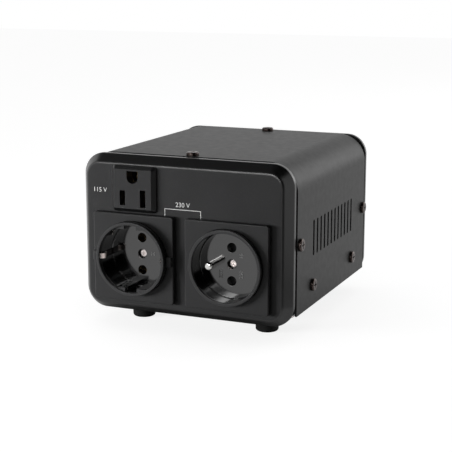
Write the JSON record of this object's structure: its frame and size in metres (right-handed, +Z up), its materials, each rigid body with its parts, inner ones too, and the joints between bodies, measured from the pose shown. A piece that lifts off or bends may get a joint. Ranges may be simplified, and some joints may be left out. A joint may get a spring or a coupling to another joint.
{
  "type": "travel voltage converter",
  "caption": "Box-shaped voltage converter in a vented steel case, with American and European earthed sockets in front and a fused inlet, rocker switch and voltage selector behind.",
  "frame": {"origin": "on the floor, under the middle of the case", "axes": "+Z up, the socket panel faces -Y, +X to the right as seen from the front"},
  "size_m": [0.1324, 0.1562, 0.103],
  "materials": {
    "bezel_plastic": "satin moulded black",
    "cover_paint": "fine textured black paint",
    "tray_steel": "plain zinc",
    "foot_rubber": "matte",
    "screw_black": "black oxide",
    "screw_zinc": "zinc",
    "us_plastic": "satin moulded black",
    "frame_plastic": "satin moulded black",
    "insert_plastic": "glossy moulded black",
    "housing_plastic": "plain moulded",
    "contact_brass": "stamped",
    "earth_strip": "bronze strip",
    "pin_nickel": "nickel plated",
    "shutter_plastic": "plain moulded",
    "spring_steel": "plain wire",
    "inlet_plastic": "satin moulded black",
    "fuse_glass": "clear",
    "rocker_plastic": "glossy moulded black",
    "selector_steel": "plain plate",
    "slider_plastic": "red moulded",
    "core_steel": "lacquered stack",
    "bobbin_plastic": "plain moulded",
    "winding_copper": "enamelled wire",
    "wrap_tape": "film tape"
  },
  "bodies": {
    "case": {"front_bezel": "bezel_plastic", "rear_bezel": "bezel_plastic", "top_cover": "cover_paint", "base_tray": "tray_steel", "rubber_feet": "foot_rubber", "foot_screws": "screw_zinc", "foot_nuts": "screw_zinc", "cover_screws": "screw_black", "side_screws": "screw_black", "side_nuts": "screw_zinc", "tray_screws": "screw_zinc", "us_socket_body": "us_plastic", "us_live_contact": "contact_brass", "us_neutral_contact": "contact_brass", "us_earth_contact": "contact_brass", "us_rear_cap": "housing_plastic", "schuko_frame": "frame_plastic", "schuko_insert": "insert_plastic", "schuko_base": "housing_plastic", "schuko_contacts": "contact_brass", "schuko_earth_strip": "earth_strip", "schuko_screw": "screw_zinc", "french_frame": "frame_plastic", "french_insert": "insert_plastic", "french_base": "housing_plastic", "french_contacts": "contact_brass", "french_earth_pin": "pin_nickel", "french_screw": "screw_zinc", "shutter_spring": "spring_steel", "inlet_body": "inlet_plastic", "inlet_pins": "pin_nickel", "inlet_screws": "screw_zinc", "switch_housing": "inlet_plastic", "switch_terminals": "contact_brass", "selector_plate": "selector_steel", "selector_body": "housing_plastic", "selector_screws": "screw_zinc", "transformer_core": "core_steel", "transformer_bobbin": "bobbin_plastic", "primary_winding": "winding_copper", "secondary_winding": "winding_copper", "winding_wrap": "wrap_tape", "transformer_bracket": "tray_steel", "bracket_bolts": "screw_zinc", "bracket_nuts": "screw_zinc"},
    "drawer": {"fuse_drawer": "inlet_plastic", "fuse_glass": "fuse_glass", "fuse_caps": "pin_nickel"},
    "rocker": {"switch_rocker": "rocker_plastic"},
    "slider": {"selector_slider": "slider_plastic"},
    "shutter": {"french_shutter": "shutter_plastic"}
  },
  "joints": [
    {"name": "drawer_slide", "type": "slide", "parent": "case", "child": "drawer", "axis": [0, 1, 0], "range_m": [0, 0.02]},
    {"name": "rocker_hinge", "type": "hinge", "parent": "case", "child": "rocker", "pos_m": [0.026, 0.07205, 0.048], "axis": [1, 0, 0], "range_deg": [0, 20]},
    {"name": "selector_slide", "type": "slide", "parent": "case", "child": "slider", "axis": [1, 0, 0], "range_m": [0, 0.005]},
    {"name": "shutter_slide", "type": "slide", "parent": "case", "child": "shutter", "axis": [1, 0, 0], "range_m": [0, 0.0062], "stiffness_N_per_m": 60, "springref_m": -0.003, "deforming": ["shutter_spring"]}
  ]
}
